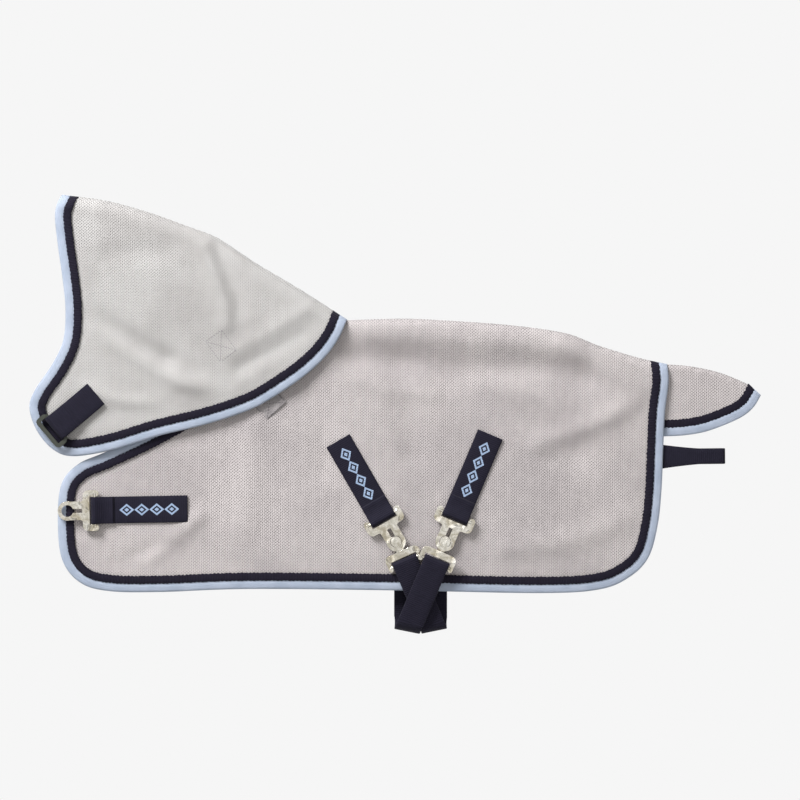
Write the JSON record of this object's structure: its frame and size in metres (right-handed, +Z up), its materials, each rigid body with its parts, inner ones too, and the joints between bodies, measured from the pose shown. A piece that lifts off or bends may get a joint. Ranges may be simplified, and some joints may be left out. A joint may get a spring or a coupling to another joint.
{
  "type": "toy pony fly sheet",
  "caption": "Folded mesh fly sheet for a toy pony: bound edges, detachable neck cover, tail flap, chest clip and crossed belly straps on hooks.",
  "frame": {"origin": "centre of the folded sheet's footprint, on the surface that it lies on", "axes": "+X from the chest to the tail, +Y from the belly to the back, +Z up through the folded sheet"},
  "size_m": [0.4093, 0.2464, 0.0229],
  "materials": {
    "mesh_cloth": "knitted polyester mesh, matt, slightly pink grey",
    "pale_blue_binding": "folded woven binding, soft sheen",
    "navy_braid": "ribbed braid, matt",
    "navy_webbing": "flat woven webbing, matt",
    "hook_and_loop_tape": "fuzzy tape, sewn round the edge and across",
    "nickel_plate": "bright nickel plate, slightly warm",
    "black_plastic": "moulded, olive black, satin"
  },
  "bodies": {
    "off_side": {"off_panel": "mesh_cloth", "off_binding": "pale_blue_binding", "off_braid": "navy_braid", "off_upper_loop_pad": "hook_and_loop_tape", "off_lower_loop_pad": "hook_and_loop_tape", "off_chest_strap": "navy_webbing", "tail_strap": "navy_webbing", "front_surcingle_strap": "navy_webbing", "rear_surcingle_strap": "navy_webbing"},
    "near_side": {"near_panel": "mesh_cloth", "near_binding": "pale_blue_binding", "near_braid": "navy_braid", "near_upper_loop_pad": "hook_and_loop_tape", "near_lower_loop_pad": "hook_and_loop_tape", "near_chest_strap": "navy_webbing", "front_label_strap": "navy_webbing", "rear_label_strap": "navy_webbing"},
    "front_clip": {"front_surcingle_eye": "nickel_plate", "front_surcingle_hook": "nickel_plate"},
    "rear_clip": {"rear_surcingle_eye": "nickel_plate", "rear_surcingle_hook": "nickel_plate"},
    "neck_off": {"neck_off_panel": "mesh_cloth", "neck_off_binding": "pale_blue_binding", "neck_off_braid": "navy_braid", "neck_off_upper_hook_pad": "hook_and_loop_tape", "neck_off_lower_hook_pad": "hook_and_loop_tape", "off_throat_strap": "navy_webbing"},
    "neck_near": {"neck_near_panel": "mesh_cloth", "neck_near_binding": "pale_blue_binding", "neck_near_braid": "navy_braid", "neck_near_upper_hook_pad": "hook_and_loop_tape", "neck_near_lower_hook_pad": "hook_and_loop_tape", "near_throat_strap": "navy_webbing"},
    "throat_loop": {"throat_ring": "black_plastic"},
    "chest_eye": {"near_chest_eye": "nickel_plate"},
    "chest_hook": {"off_chest_hook": "nickel_plate"},
    "tail_flap": {"tail_near_panel": "mesh_cloth", "tail_near_binding": "pale_blue_binding", "tail_near_braid": "navy_braid", "tail_off_panel": "mesh_cloth", "tail_off_binding": "pale_blue_binding", "tail_off_braid": "navy_braid"}
  },
  "joints": [
    {"name": "near_side_lift", "type": "hinge", "parent": "off_side", "child": "near_side", "pos_m": [0.0636, 0.051, 0.0096], "axis": [-0.9947, 0.1025, 0], "range_deg": [0, 14], "deforming": ["front_surcingle_strap", "rear_surcingle_strap", "tail_strap"]},
    {"name": "neck_slide", "type": "slide", "parent": "off_side", "child": "neck_off", "axis": [-1, 0, 0], "range_m": [0, 0.19]},
    {"name": "neck_near_lift", "type": "hinge", "parent": "neck_off", "child": "neck_near", "pos_m": [-0.1022, 0.1014, 0.0096], "axis": [-0.9165, 0.4001, 0], "range_deg": [0, 12]},
    {"name": "rear_clip_swing", "type": "hinge", "parent": "near_side", "child": "rear_clip", "pos_m": [0.03338, -0.05662, 0.0156], "axis": [-0.9205, 0.3907, 0], "range_deg": [0, 30]},
    {"name": "front_clip_swing", "type": "hinge", "parent": "near_side", "child": "front_clip", "pos_m": [-0.00765, -0.05745, 0.0156], "axis": [-0.866, -0.5, 0], "range_deg": [0, 22.5]},
    {"name": "chest_eye_swing", "type": "hinge", "parent": "near_side", "child": "chest_eye", "pos_m": [-0.1683, -0.05333, 0.0156], "axis": [-0.0175, 0.9998, 0], "range_deg": [0, 120]},
    {"name": "chest_hook_swing", "type": "hinge", "parent": "off_side", "child": "chest_hook", "pos_m": [-0.1613, -0.05321, 0.0036], "axis": [0.0175, -0.9998, 0], "range_deg": [0, 120]},
    {"name": "throat_ring_swing", "type": "hinge", "parent": "neck_near", "child": "throat_loop", "pos_m": [-0.18919, -0.00666, 0.0206], "axis": [-0.6468, 0.7627, 0], "range_deg": [0, 110]},
    {"name": "tail_flap_swing", "type": "hinge", "parent": "off_side", "child": "tail_flap", "pos_m": [0.1506, 0.022, 0.0096], "axis": [0, 0, 1], "range_deg": [-5, 5]}
  ],
  "couplings": [
    {"joint": "neck_near_lift", "follows": "near_side_lift", "ratio": 0.85},
    {"joint": "front_clip_swing", "follows": "rear_clip_swing", "ratio": 0.75}
  ]
}
